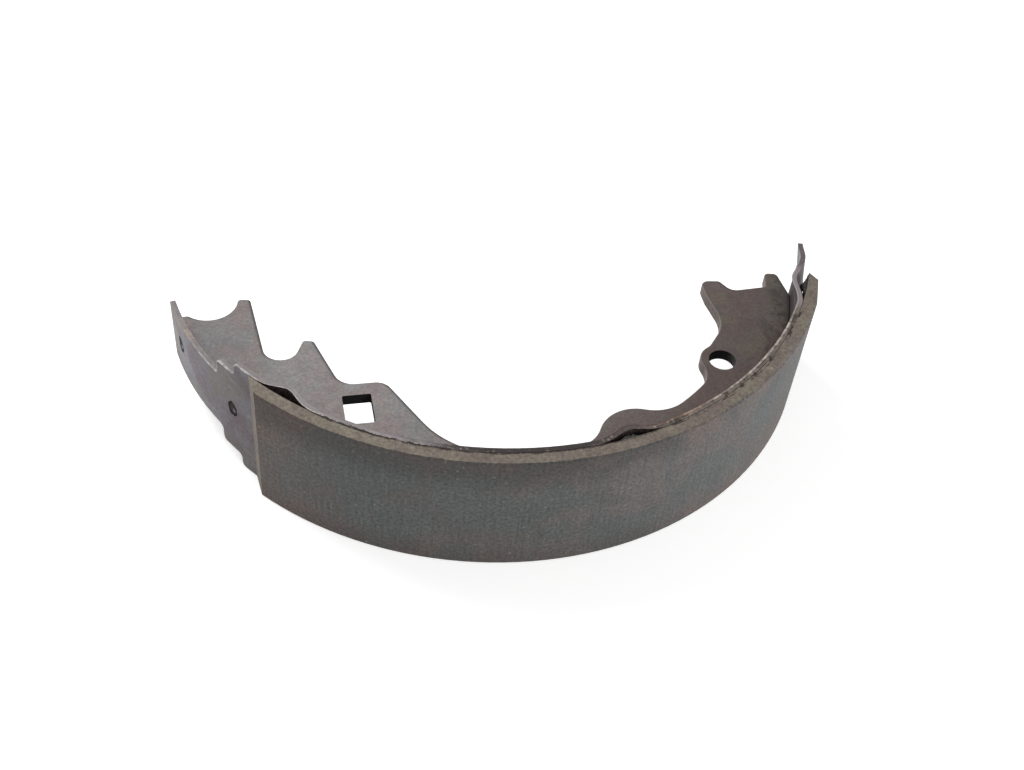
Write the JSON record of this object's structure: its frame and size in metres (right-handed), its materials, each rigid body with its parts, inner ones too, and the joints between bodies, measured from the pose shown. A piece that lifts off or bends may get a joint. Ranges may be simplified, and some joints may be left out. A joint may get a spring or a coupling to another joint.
{
  "type": "brake shoe",
  "caption": "Crescent-shaped drum brake shoe: a flat pressed-steel web welded inside a rolled steel table, with a friction lining bonded to the table's outside.",
  "frame": {"origin": "on the drum's axis, at the middle of the lining's width", "axes": "+Z along the drum's axis; -Y points at the table's middle; +X towards the plain end of the table, where the web has its flat-bottomed slot"},
  "size_m": [0.1857, 0.1048, 0.0406],
  "materials": {
    "friction_lining": "rough resin-bonded friction compound, ground",
    "bond": "dark cured adhesive",
    "table_steel": "dull phosphated sheet steel",
    "web_steel": "dull phosphated sheet steel"
  },
  "bodies": {
    "root": {"lining": "friction_lining", "adhesive": "bond", "table": "table_steel", "web": "web_steel"}
  },
  "joints": []
}
